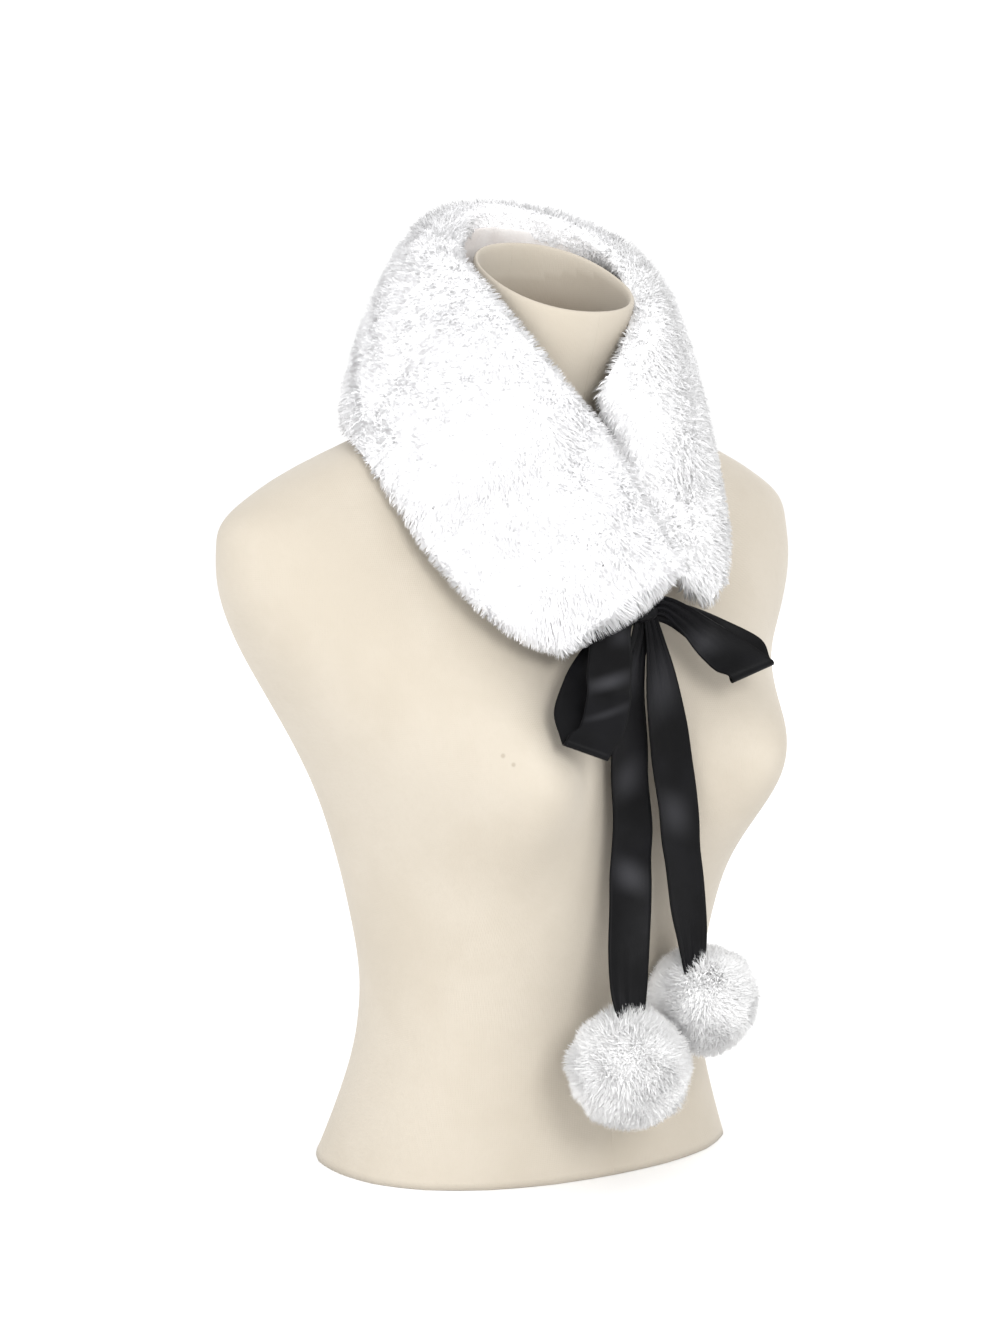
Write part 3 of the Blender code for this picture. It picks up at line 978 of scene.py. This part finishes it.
    def _mesh(
        self,
        parts: Sequence[Strands],
        surface: Array,
        slot: Slot,
        material: bpy.types.Material,
    ) -> bpy.types.Object:
        """Joins locks and hairs into one mesh, lit mostly as the surface under them.

        Args:
            parts: The locks and the hairs.
            surface: The backing's normal for each of their points.
            slot: The record's slot.
            material: The pile's material.

        Returns:
            The piece.
        """
        triangles, start = [], 0
        for part in parts:
            firsts = start + np.arange(len(part.points) // part.size) * part.size
            triangles.append((firsts[:, None, None] + part.pattern[None]).reshape(-1, 3))
            start += len(part.points)
        points = np.concatenate([part.points for part in parts])
        triangles = np.concatenate(triangles).astype(np.int32)
        mesh = bpy.data.meshes.new(self.name)
        mesh.vertices.add(len(points))
        mesh.vertices.foreach_set("co", points.astype(np.float32).ravel())
        mesh.loops.add(triangles.size)
        mesh.loops.foreach_set("vertex_index", triangles.ravel())
        mesh.polygons.add(len(triangles))
        mesh.polygons.foreach_set("loop_start", np.arange(0, triangles.size, 3, dtype=np.int32))
        mesh.update(calc_edges=True)
        columns = {"reach": [part.reach for part in parts], "tone": [part.tone for part in parts]}
        for name, column in columns.items():
            values = np.concatenate(column).astype(np.float32)
            mesh.attributes.new(name, "FLOAT", "POINT").data.foreach_set("value", values)
        mesh.shade_smooth()
        made = bpy.data.objects.new(self.name, mesh)
        bpy.context.scene.collection.objects.link(made)
        own = normals_of(made)
        blended = unit(own * (1 - self.softness) + surface * self.softness)
        settle(made, slot, material)
        mesh.normals_split_custom_set_from_vertices(blended.astype(np.float32))
        return made


def scatter(thing: bpy.types.Object, count: int, seed: int) -> tuple[Array, Array]:
    """Chooses evenly spread places on a mesh.

    Args:
        thing: The mesh's object.
        count: How many places.
        seed: The random numbers' seed.

    Returns:
        The places, and the mesh's smooth normals there.
    """
    mesh = thing.data
    mesh.calc_loop_triangles()
    triangles = np.zeros(len(mesh.loop_triangles) * 3, np.int32)
    mesh.loop_triangles.foreach_get("vertices", triangles)
    triangles = triangles.reshape(-1, 3)
    points, normals = points_of(thing), normals_of(thing)
    a, b, c = (points[triangles[:, i]] for i in range(3))
    areas = np.linalg.norm(np.cross(b - a, c - a), axis=1) / 2
    rng = np.random.default_rng(seed)
    places = (np.arange(count) + rng.uniform(0, 1, count)) / count * areas.sum()
    chosen = np.minimum(np.searchsorted(np.cumsum(areas), places), len(areas) - 1)
    u, v = rng.uniform(0, 1, (2, count))
    flip = u + v > 1
    u[flip], v[flip] = 1 - u[flip], 1 - v[flip]
    weights = np.stack([1 - u - v, u, v], axis=1)[:, :, None]
    corners = triangles[chosen]
    return (points[corners] * weights).sum(1), unit((normals[corners] * weights).sum(1))


@dataclass
class FurBand:
    """The wide fur band: a padded backing under the whole pile, and the pile in three stretches."""

    nodes: tuple[str, ...] = ("fur_front_right", "fur_back", "fur_front_left")
    pile_height: float = 3.9 * MM
    inset_share: float = 0.23
    lump_height: float = 1.3 * MM
    lump_size: float = 0.030
    locks: tuple[int, ...] = (3600, 3300, 3000)
    hairs: tuple[int, ...] = (35000, 33000, 29000)
    lock_length: float = 7.5 * MM
    clearance: float = 2.0 * MM
    hidden_gap: float = 1.2 * MM
    underside: float = -0.2
    lining_reach: float = 4.0 * MM
    lined_inset: float = 0.2 * MM
    step_off: float = 0.2 * MM
    sunk: float = 0.4 * MM
    roots_tried: float = 1.45
    plumps: tuple[Sweep, ...] = (
        Sweep((0.036, -0.070, 0.508), 0.020, (-0.0080, 0.0050, 0.0)),
        Sweep((0.020, -0.080, 0.490), 0.018, (-0.0050, 0.0030, 0.0)),
        Sweep((0.005, -0.086, 0.458), 0.020, (-0.0095, 0.0050, 0.0)),
        Sweep((0.052, -0.045, 0.526), 0.020, (-0.0085, 0.0055, 0.0)),
        Sweep((0.058, -0.012, 0.545), 0.020, (-0.0095, 0.0015, 0.0)),
        Sweep((0.050, 0.014, 0.558), 0.018, (-0.0070, -0.0065, 0.0)),
        Sweep((0.034, 0.030, 0.565), 0.014, (-0.0035, -0.0075, 0.0)),
        Sweep((-0.020, 0.030, 0.564), 0.014, (0.0085, -0.0050, 0.0)),
        Sweep((-0.042, 0.018, 0.556), 0.018, (0.0125, -0.0045, 0.0)),
        Sweep((-0.048, 0.000, 0.545), 0.016, (0.0060, -0.0010, 0.0)),
        Sweep((0.0470, -0.1080, 0.3500), 0.014, (-0.0125, 0.0015, -0.0115)),
        Sweep((0.0580, -0.1080, 0.3420), 0.010, (-0.0035, 0.0005, -0.0050)),
    )
    sweeps: tuple[Sweep, ...] = (
        Sweep((0.000, -0.126, 0.338), 0.020, (0.0010, -0.0020, -0.0085)),
        Sweep((-0.025, -0.124, 0.328), 0.018, (0.0010, -0.0010, -0.0040)),
        Sweep((0.048, -0.108, 0.342), 0.014, (-0.0010, -0.0010, -0.0045)),
    )
    seed: int = 31
    backing: bpy.types.Object | None = field(default=None, init=False)
    skin: BVHTree | None = field(default=None, init=False)

    def build(self) -> None:
        """Makes the backing and grows the pile."""
        self.backing = copy_of("fur_band_backing", *self.nodes)
        self._draw_in()
        finish_with(self.backing, "SUBSURF", levels=1, render_levels=1)
        points = points_of(self.backing)
        swell = lumps(points, self.lump_size) * self.lump_height
        move_points(self.backing, points + normals_of(self.backing) * swell[:, None])
        settle(self.backing, Slot.FUR, WHITE_FUR.backing(), *self.nodes)
        self._grow()

    def _draw_in(self) -> None:
        """Draws the skin in by the pile's height, or less where the band is thin."""
        self.skin = tree_of([self.backing])
        points, normals = points_of(self.backing), normals_of(self.backing)
        lining = tree_of([bpy.data.objects["collar_lining"]])
        insets = []
        for point, normal in zip(points, normals):
            start, way = Vector(point - normal * self.step_off), Vector(normal)
            if lining.ray_cast(start, way, self.lining_reach)[0] is not None:
                insets.append(self.lined_inset)
                continue
            through = self.skin.ray_cast(start, -way)[3]
            insets.append(min(self.pile_height, self.inset_share * (through or 0.0)))
        fuller = points + sum(sweep.moved(points, normals) for sweep in self.plumps)
        move_points(self.backing, fuller)
        self.skin = tree_of([self.backing])
        move_points(self.backing, fuller - normals * np.array(insets)[:, None])

    def _grow(self) -> None:
        """Grows the pile where it shows, stretch by stretch."""
        blockers = tree_of([bpy.data.objects[name] for name in ("form_cover", "collar_lining")])
        total = int((sum(self.locks) + sum(self.hairs)) * self.roots_tried)
        roots, normals = scatter(self.backing, total, self.seed)
        own = tree_of([self.backing])
        pairs = zip(roots, normals)
        kept = [self._shows(Vector(root), Vector(normal), blockers, own) for root, normal in pairs]
        roots, normals = roots[kept], normals[kept]
        stretch = self._stretch_of(roots)
        white = WHITE_FUR.material()
        # The wearer's left end gets the darker copy of the fur as painted shade.
        materials = (white, white, PAINTED_SHADE_FUR.material())
        LOG.info("fur: %d roots of %d", len(roots), total)
        for order, node in enumerate(self.nodes):
            here = np.flatnonzero(stretch == order)
            most = self.locks[order] + self.hairs[order]
            if len(here) > most:
                rng = np.random.default_rng(self.seed + order)
                here = np.sort(rng.choice(here, most, replace=False))
            LOG.info("%s: %d locks and hairs", node, len(here))
            locks, seed = int(len(here) * self.locks[order] / most), self.seed + 10 * order
            pile = Pile(node + "_pile", locks, self.lock_length, seed, sweeps=self.sweeps)
            starts = roots[here] - normals[here] * self.sunk
            pile.grow(starts, normals[here], self.skin, Slot.FUR, materials[order])

    def _shows(self, root: Vector, normal: Vector, blockers: BVHTree, own: BVHTree) -> bool:
        """Whether a root stands in the open.

        Args:
            root: The place on the backing.
            normal: The backing's normal there.
            blockers: The form and the lining.
            own: The backing itself.

        Returns:
            False where something lies on the pile.
        """
        through = self.skin.ray_cast(root, normal, self.lock_length)[3] or 0.0
        near = max(self.clearance, through + self.hidden_gap)
        if normal.z < self.underside:
            near = self.clearance
        if blockers.ray_cast(root, normal, near)[0] is not None:
            return False
        off_backing = root + normal * 0.6 * MM
        return own.ray_cast(off_backing, normal, near)[0] is None

    def _stretch_of(self, roots: Array) -> Array:
        """Finds which stretch of the band each root belongs to, by the nearest CAD node.

        Args:
            roots: The roots.

        Returns:
            The stretch's number for each root.
        """
        trees = [tree_of([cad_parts[node]]) for node in self.nodes]
        found = []
        for root in roots:
            distances = [tree.find_nearest(Vector(root))[3] for tree in trees]
            found.append(int(np.argmin(distances)))
        return np.array(found)


@dataclass
class Lining:
    """The satin lining inside the back of the collar, with small upright folds."""

    node: str = "lining"
    name: str = "collar_lining"
    flat: tuple[float, float] = (0.070, 0.205)
    folds: tuple[tuple[float, float], ...] = ((0.9, 3.0), (0.5, 7.0), (0.3, 13.0))
    fold_depth: float = 0.7 * MM

    def build(self) -> bpy.types.Object:
        """Copies the solid, smooths it and presses the folds in.

        Returns:
            The lining.
        """
        lining = copy_of(self.name, self.node)
        finish_with(lining, "SUBSURF", levels=2, render_levels=2)
        points = points_of(lining)
        around = np.arctan2(points[:, 0], points[:, 1])
        depth = sum(weight * np.sin(turns * 3.1 * around + turns) for weight, turns in self.folds)
        inward = unit(np.stack([-points[:, 0], -points[:, 1], np.zeros(len(points))], axis=1))
        move_points(lining, points + inward * (self.fold_depth * (depth + 1.2))[:, None])
        settle(lining, Slot.LINING, WHITE_SATIN.cloth(), self.node)
        return lining


@dataclass(frozen=True)
class Bend:
    """One bend of a ribbon: its middle, the way across it, and the share of its width that isn't gathered."""

    x: float
    y: float
    z: float
    across_x: float
    across_y: float
    across_z: float
    share: float


@dataclass(frozen=True)
class Crease:
    """A soft ridge, or a trough where its height is below 0, across a ribbon."""

    at: float
    width: float
    height: float
    slant: float = 0.0


@dataclass
class Ribbon:
    """A length of satin ribbon, laid along its bends."""

    name: str
    node: str
    bends: tuple[Bend, ...]
    creases: tuple[Crease, ...] = ()
    # Painted highlights of sheen across the ribbon.
    sheens: tuple[PaintedSheen, ...] = ()
    width: float = 0.028
    thickness: float = 0.0007
    cup: float = 0.0
    pleats: float = 3.0
    pleat_depth: float = 2.2 * MM
    step: float = 1.6 * MM
    strips: int = 14

    def build(self) -> bpy.types.Object:
        """Returns:
            The ribbon.
        """
        length = self._walked()[1][-1]
        rows = max(24, int(length / self.step))
        bpy.ops.object.select_all(action="DESELECT")
        bpy.ops.mesh.primitive_grid_add(x_subdivisions=self.strips, y_subdivisions=rows, size=2.0)
        ribbon = bpy.context.object
        ribbon.name = self.name
        flat = points_of(ribbon)
        move_points(ribbon, self._laid(flat[:, 0], (flat[:, 1] + 1) / 2))
        finish_with(ribbon, "SOLIDIFY", thickness=self.thickness, offset=0.0, use_even_offset=True)
        settle(ribbon, Slot.RIBBON, BLACK_SATIN.ribbon(self.width, self.sheens), self.node)
        LOG.info("%s: flat %.1f mm long, %.1f cm2", self.name, length * 1000, self._area() * 1e4)
        return ribbon

    def _table(self) -> Array:
        """The bends as rows of numbers."""
        return np.array([[b.x, b.y, b.z, b.across_x, b.across_y, b.across_z, b.share] for b in self.bends])

    def _walked(self) -> tuple[Array, Array]:
        """Walks along the ribbon's middle in fine steps.

        Returns:
            Places from 0 to the last bend, and how far along the cloth each one is.
        """
        table = self._table()
        fine = np.linspace(0, len(table) - 1, 40 * (len(table) - 1) + 1)
        path = self._curve(table[:, :3], fine)
        return fine, np.concatenate([[0], np.cumsum(np.linalg.norm(np.diff(path, axis=0), axis=1))])

    def _area(self) -> float:
        """Measures what the ribbon covers, its gathered ends counted as narrow as they are.

        Returns:
            The area.
        """
        fine, walked = self._walked()
        shares = np.clip(self._curve(self._table()[:, 6:], fine)[:, 0], 0.2, 1.0) * self.width
        return float((np.diff(walked) * (shares[1:] + shares[:-1]) / 2).sum())

    def _curve(self, columns: Array, at: Array) -> Array:
        """Reads values between the bends, on a smooth curve through them.

        Args:
            columns: One row of values for each bend.
            at: Places from 0 to the last bend.

        Returns:
            One row of values for each place.
        """
        last = len(columns) - 1
        index = np.minimum(at.astype(int), last - 1)
        part = (at - index)[:, None]
        a, b = columns[index], columns[index + 1]
        before = np.where(index[:, None] > 0, columns[np.maximum(index - 1, 0)], 2 * a - b)
        after = np.where(index[:, None] + 2 <= last, columns[np.minimum(index + 2, last)], 2 * b - a)
        return 0.5 * (
            2 * a
            + (b - before) * part
            + (2 * before - 5 * a + 4 * b - after) * part**2
            + (3 * a - before - 3 * b + after) * part**3
        )

    def _laid(self, side: Array, along: Array) -> Array:
        """Where each point of the flat grid goes.

        Args:
            side: From -1 at one edge to 1 at the other.
            along: From 0 at the first bend to 1 at the last.

        Returns:
            The points.
        """
        table = self._table()
        last = len(table) - 1
        fine, walked = self._walked()
        at = np.interp(along * walked[-1], walked, fine)
        centre = self._curve(table[:, :3], at)
        ahead, behind = (self._curve(table[:, :3], np.clip(at + step, 0, last)) for step in (0.05, -0.05))
        way = unit(ahead - behind)
        across = unit(self._curve(table[:, 3:6], at))
        normal = unit(np.cross(across, way))
        share = np.clip(self._curve(table[:, 6:], at)[:, 0], 0.2, 1.0)
        lift = self.cup * (1 - side**2)
        lift += (1 - share) * self.pleat_depth * np.sin(self.pleats * math.pi * side + 0.6)
        distance = along * walked[-1]
        for crease in self.creases:
            away = (distance - crease.at - crease.slant * side) / crease.width
            lift += crease.height * np.exp(-(away**2))
        return centre + across * (side * share * self.width / 2)[:, None] + normal * lift[:, None]


@dataclass
class Knot:
    """The bow's knot: a short stretch of the ribbon wrapped once round the rest and drawn tight."""

    node: str = "bow_knot"
    name: str = "bow_knot_wrap"
    centre: Point = (0.004, -0.1128, 0.3348)
    half_depth: float = 5.6 * MM
    half_height: float = 5.4 * MM
    width: float = 0.014
    thickness: float = 0.7 * MM
    wrap_length: float = 0.036
    pinch: float = 0.16
    pleats: int = 3
    rows: int = 56
    strips: int = 16

    def build(self) -> bpy.types.Object:
        """Bends a flat grid round into a closed band and pleats it.

        Returns:
            The knot.
        """
        bpy.ops.object.select_all(action="DESELECT")
        bpy.ops.mesh.primitive_grid_add(x_subdivisions=self.strips, y_subdivisions=self.rows, size=2.0)
        knot = bpy.context.object
        knot.name = self.name
        grid = points_of(knot)
        side, angle = grid[:, 0], (grid[:, 1] + 1) * math.pi
        swell = 1 - self.pinch * side**2 + 0.05 * np.sin(self.pleats * math.pi * side + 0.7 * np.sin(angle))
        points = np.array(self.centre) + np.stack(
            [
                side * self.width / 2 * (1 + 0.06 * np.cos(2 * angle)),
                self.half_depth * swell * np.cos(angle),
                self.half_height * swell * np.sin(angle) + 0.8 * MM * side,
            ],
            axis=1,
        )
        move_points(knot, points)
        with editing(knot):
            bpy.ops.mesh.select_all(action="SELECT")
            bpy.ops.mesh.remove_doubles(threshold=0.05 * MM)
            bpy.ops.mesh.normals_make_consistent(inside=False)
        finish_with(knot, "SOLIDIFY", thickness=self.thickness, offset=-1.0)
        settle(knot, Slot.RIBBON, BLACK_SATIN.ribbon(self.width), self.node)
        return knot


@dataclass
class Pompom:
    """A fur ball: a padded core and a dense round pile with a lumpy outline."""

    node: str
    centre: Point
    radius: float
    seed: int
    core_share: float = 0.78
    core_lump: float = 0.055
    swell: float = 0.075
    ripple: float = 0.05
    locks: int = 1600
    hairs: int = 20500

    def build(self) -> None:
        """Makes the core and grows the pile."""
        core_radius = self.radius * self.core_share
        bpy.ops.object.select_all(action="DESELECT")
        bpy.ops.mesh.primitive_ico_sphere_add(subdivisions=5, radius=core_radius)
        core = bpy.context.object
        core.name = self.node + "_core"
        points = points_of(core)
        ways = unit(points)
        points = points * (1 + self.core_lump * lumps(ways + self.seed, 0.55))[:, None]
        move_points(core, points + np.array(self.centre))
        settle(core, Slot.POMPOM, POMPOM_FUR.backing(), self.node)
        roots, _ = scatter(core, self.locks + self.hairs, self.seed)
        ways = unit(roots - np.array(self.centre))
        outline = 1 + self.swell * drift(ways, 1.5, self.seed + 2)[:, 0]
        outline = outline + self.ripple * drift(ways, 0.7, self.seed + 3)[:, 1]
        pile = Pile(
            self.node + "_pile",
            self.locks,
            (self.radius - core_radius) * 1.12,
            self.seed,
            lock_radius=0.60 * MM,
            hair_radius=0.34 * MM,
            lean=0.40,
            tuft=4.5 * MM,
            gather=0.16,
            swirl=0.020,
            fall=(0.0, 0.0, -0.35),
        )
        reach = np.clip(outline, 0.78, 1.12)
        pile.grow(roots - ways * 0.5 * MM, ways, reach, Slot.POMPOM, POMPOM_FUR.material())


LOOP_RIGHT = Ribbon(
    name="bow_loop_right_ribbon",
    node="bow_loop_right",
    bends=(
        Bend(0.0020, -0.1145, 0.3368, 0.55, -0.10, -0.80, 0.34),
        Bend(-0.0090, -0.1165, 0.3370, 0.90, -0.05, -0.25, 0.62),
        Bend(-0.0250, -0.1225, 0.3280, 0.98, -0.07, -0.08, 0.92),
        Bend(-0.0350, -0.1345, 0.3095, 0.98, -0.17, -0.02, 1.00),
        Bend(-0.0440, -0.1445, 0.2905, 0.98, -0.18, -0.05, 1.00),
        Bend(-0.0530, -0.1512, 0.2768, 0.95, -0.20, -0.22, 1.00),
        Bend(-0.0625, -0.1545, 0.2712, 0.90, -0.27, -0.34, 1.00),
        Bend(-0.0660, -0.1560, 0.2679, 0.89, -0.28, -0.36, 1.00),
        Bend(-0.0670, -0.1550, 0.2655, 0.89, -0.28, -0.36, 1.00),
        Bend(-0.0660, -0.1524, 0.2655, 0.89, -0.28, -0.36, 1.00),
        Bend(-0.0656, -0.1497, 0.2691, 0.89, -0.28, -0.36, 1.00),
        Bend(-0.0625, -0.1395, 0.2820, 0.88, -0.28, -0.38, 1.00),
        Bend(-0.0455, -0.1260, 0.2975, 0.82, -0.28, -0.46, 1.00),
        Bend(-0.0285, -0.1150, 0.3110, 0.70, -0.25, -0.62, 0.82),
        Bend(-0.0155, -0.1105, 0.3250, 0.50, -0.20, -0.80, 0.50),
        Bend(0.0000, -0.1100, 0.3350, 0.30, -0.20, -0.93, 0.34),
    ),
    creases=(Crease(0.062, 0.008, 1.6 * MM, 0.003), Crease(0.074, 0.006, -1.2 * MM, 0.003)),
    sheens=(
        PaintedSheen(0.155, 0.05, 0.5, 0.0, 0.75, 0.4),
        PaintedSheen(0.285, 0.035, 0.95, 0.03),
        PaintedSheen(0.375, 0.02, 0.45, 0.05),
    ),
)
LOOP_LEFT = Ribbon(
    name="bow_loop_left_ribbon",
    node="bow_loop_left",
    bends=(
        Bend(0.0075, -0.1150, 0.3375, 0.10, 0.05, 0.99, 0.34),
        Bend(0.0165, -0.1168, 0.3385, 0.25, 0.00, 0.96, 0.38),
        Bend(0.0290, -0.1205, 0.3305, 0.55, 0.00, 0.83, 0.54),
        Bend(0.0410, -0.1270, 0.3188, 0.68, -0.10, 0.72, 0.76),
        Bend(0.0500, -0.1365, 0.3093, 0.80, -0.15, 0.56, 0.94),
        Bend(0.0555, -0.1440, 0.3042, 0.92, -0.19, 0.33, 1.00),
        Bend(0.0583, -0.1466, 0.3016, 0.92, -0.19, 0.33, 1.00),
        Bend(0.0593, -0.1459, 0.2993, 0.92, -0.19, 0.33, 1.00),
        Bend(0.0597, -0.1433, 0.2995, 0.92, -0.19, 0.33, 1.00),
        Bend(0.0602, -0.1406, 0.3033, 0.92, -0.19, 0.33, 1.00),
        Bend(0.0605, -0.1335, 0.3115, 0.88, -0.12, 0.40, 1.00),
        Bend(0.0470, -0.1210, 0.3215, 0.78, 0.00, 0.58, 0.84),
        Bend(0.0270, -0.1130, 0.3325, 0.40, 0.10, 0.85, 0.52),
        Bend(0.0080, -0.1105, 0.3370, 0.10, 0.10, 0.98, 0.34),
    ),
    creases=(Crease(0.040, 0.010, 0.8 * MM, -0.003),),
    sheens=(PaintedSheen(0.27, 0.10, 0.45, -0.06, 0.35, 0.6),),
)
TAIL_RIGHT = Ribbon(
    name="bow_tail_right_ribbon",
    node="bow_tail_right",
    bends=(
        Bend(0.0030, -0.1132, 0.3335, 1.0, 0.00, 0.0, 0.32),
        Bend(0.0005, -0.1138, 0.3210, 1.0, 0.05, 0.0, 0.46),
        Bend(-0.0045, -0.1145, 0.3060, 1.0, 0.10, 0.0, 0.72),
        Bend(-0.0082, -0.1160, 0.2856, 1.0, 0.15, 0.0, 0.94),
        Bend(-0.0085, -0.1190, 0.2513, 1.0, 0.10, 0.0, 1.00),
        Bend(-0.0089, -0.1210, 0.1993, 1.0, -0.05, 0.0, 1.00),
        Bend(-0.0115, -0.1235, 0.1705, 1.0, -0.10, 0.0, 1.00),
        Bend(-0.0175, -0.1300, 0.1430, 1.0, -0.10, 0.0, 0.98),
        Bend(-0.0235, -0.1382, 0.1210, 1.0, -0.10, 0.0, 0.86),
        Bend(-0.0268, -0.1445, 0.1050, 1.0, -0.10, 0.0, 0.60),
    ),
    creases=(
        Crease(0.092, 0.015, 1.4 * MM, 0.003),
        Crease(0.122, 0.013, -1.0 * MM, 0.003),
        Crease(0.146, 0.012, 1.3 * MM, -0.004),
    ),
    sheens=(
        PaintedSheen(0.16, 0.08, 0.40, 0.04),
        PaintedSheen(0.40, 0.07, 0.60, 0.03, 0.45, 0.6),
        PaintedSheen(0.64, 0.06, 0.95, -0.04, 0.5, 0.6),
    ),
    cup=1.2 * MM,
)
TAIL_LEFT = Ribbon(
    name="bow_tail_left_ribbon",
    node="bow_tail_left",
    bends=(
        Bend(0.0075, -0.1145, 0.3335, 1.0, 0.00, 0.0, 0.32),
        Bend(0.0105, -0.1165, 0.3180, 1.0, -0.03, 0.0, 0.48),
        Bend(0.0120, -0.1195, 0.3020, 1.0, -0.08, 0.0, 0.68),
        Bend(0.0135, -0.1220, 0.2830, 1.0, -0.10, 0.0, 0.86),
        Bend(0.0175, -0.1235, 0.2564, 1.0, -0.10, 0.0, 0.97),
        Bend(0.0221, -0.1260, 0.2148, 1.0, 0.00, 0.0, 1.00),
        Bend(0.0246, -0.1305, 0.1675, 1.0, 0.10, 0.0, 1.00),
        Bend(0.0252, -0.1340, 0.1465, 1.0, 0.10, 0.0, 0.84),
        Bend(0.0250, -0.1365, 0.1260, 1.0, 0.10, 0.0, 0.58),
    ),
    creases=(Crease(0.085, 0.016, 1.2 * MM, -0.003), Crease(0.134, 0.012, 1.3 * MM, 0.004)),
    sheens=(PaintedSheen(0.20, 0.12, 0.55, 0.05), PaintedSheen(0.56, 0.09, 0.65, -0.05, 0.4, 0.6)),
    cup=1.2 * MM,
)
POMPOMS = (
    Pompom("pompom_right", (-0.0239, -0.1390, 0.0773), 0.0368, 71),
    Pompom("pompom_left", (0.0405, -0.1250, 0.1060), 0.0338, 83),
)


def main() -> None:
    """Builds the studio and every piece in order."""
    logging.basicConfig(level=logging.INFO, format="%(name)s %(message)s")
    Studio().build()
    DressForm().build()
    Lining().build()
    FurBand().build()
    Knot().build()
    for ribbon in (LOOP_RIGHT, LOOP_LEFT, TAIL_RIGHT, TAIL_LEFT):
        ribbon.build()
    for pompom in POMPOMS:
        pompom.build()


if __name__ == "__main__":
    main()
